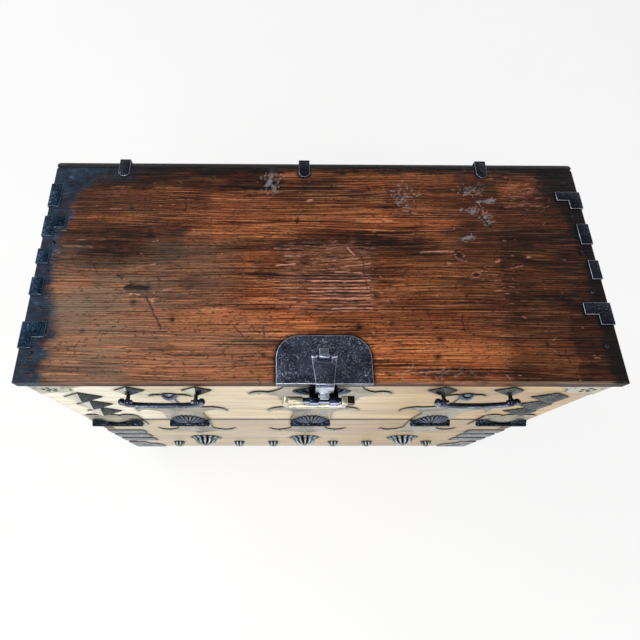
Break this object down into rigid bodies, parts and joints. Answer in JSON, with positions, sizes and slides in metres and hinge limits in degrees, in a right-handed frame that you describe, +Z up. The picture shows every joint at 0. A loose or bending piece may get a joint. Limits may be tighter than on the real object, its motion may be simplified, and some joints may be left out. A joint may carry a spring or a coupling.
{
  "type": "korean bandaji chest",
  "caption": "Low pine blanket chest with a drop-down front flap, iron hinges, straps and flower mounts, swinging bail handles and a brass padlock through a hasp.",
  "frame": {"origin": "bottom centre of the whole chest's box, on the floor", "axes": "+X to the chest's right as one faces it, front towards -Y, +Z up"},
  "size_m": [0.9032, 0.43, 0.7345],
  "materials": {
    "pine_top": "waxed red-brown pine with raised grain",
    "pine_front": "pale waxed pine",
    "pine_case": "brown waxed pine",
    "iron": "waxed wrought iron",
    "brass": "aged pale brass"
  },
  "bodies": {
    "case": {"back_board_lower": "pine_case", "back_board_upper": "pine_case", "back_straps": "iron", "bottom_board": "pine_case", "corner_straps_left": "iron", "corner_straps_right": "iron", "dome_studs": "iron", "flower_knobs": "iron", "flower_plates": "iron", "foot_plate_left": "iron", "foot_plate_right": "iron", "front_nails": "iron", "hasp_loop": "iron", "hinge_lower_leaf_centre": "iron", "hinge_lower_leaf_far_left": "iron", "hinge_lower_leaf_far_right": "iron", "hinge_lower_leaf_left": "iron", "hinge_lower_leaf_right": "iron", "hinge_pins": "iron", "lock_plate_top": "iron", "lower_front_board": "pine_front", "side_board_left": "pine_case", "side_board_right": "pine_case", "stand_foot_left": "pine_case", "stand_foot_right": "pine_case", "stand_rail_back": "pine_case", "stand_rail_front": "pine_case", "top_board": "pine_top", "top_board_nails": "iron", "top_plate_nails": "iron", "top_straps_left": "iron", "top_straps_right": "iron"},
    "flap": {"flap_board": "pine_front", "flap_nails": "iron", "hinge_finials": "iron", "lock_plate_front": "iron", "lock_rosette": "iron", "lock_knuckles": "iron", "hinge_upper_leaf_centre": "iron", "hinge_upper_leaf_far_left": "iron", "hinge_upper_leaf_far_right": "iron", "hinge_upper_leaf_left": "iron", "hinge_upper_leaf_right": "iron", "flap_corner_plate_left": "iron", "flap_corner_plate_right": "iron", "flap_lozenges_left": "iron", "flap_lozenges_right": "iron", "handle_escutcheons_left": "iron", "handle_escutcheons_right": "iron", "handle_posts_left": "iron", "handle_posts_right": "iron"},
    "hasp": {"hasp": "iron"},
    "padlock": {"padlock_body": "brass", "padlock_end_block": "iron"},
    "padlock_shackle": {"padlock_shackle": "brass", "padlock_bar": "iron"},
    "handle_left": {"handle_bail_left": "iron"},
    "handle_right": {"handle_bail_right": "iron"}
  },
  "joints": [
    {"name": "flap_drop", "type": "hinge", "parent": "case", "child": "flap", "pos_m": [0, -0.19205, 0.43], "axis": [1, 0, 0], "range_deg": [0, 165]},
    {"name": "hasp_lift", "type": "hinge", "parent": "case", "child": "hasp", "pos_m": [0.003, -0.14755, 0.7304], "axis": [-1, 0, 0], "range_deg": [0, 175]},
    {"name": "padlock_swing", "type": "hinge", "parent": "flap", "child": "padlock", "pos_m": [0.003, -0.20705, 0.7], "axis": [-1, 0, 0], "range_deg": [-10, 60]},
    {"name": "shackle_slide", "type": "slide", "parent": "padlock", "child": "padlock_shackle", "axis": [-1, 0, 0], "range_m": [0, 0.075]},
    {"name": "handle_left_swing", "type": "hinge", "parent": "flap", "child": "handle_left", "pos_m": [-0.243, -0.20255, 0.672], "axis": [-1, 0, 0], "range_deg": [-5, 95]},
    {"name": "handle_right_swing", "type": "hinge", "parent": "flap", "child": "handle_right", "pos_m": [0.243, -0.20255, 0.672], "axis": [-1, 0, 0], "range_deg": [-5, 95]}
  ]
}
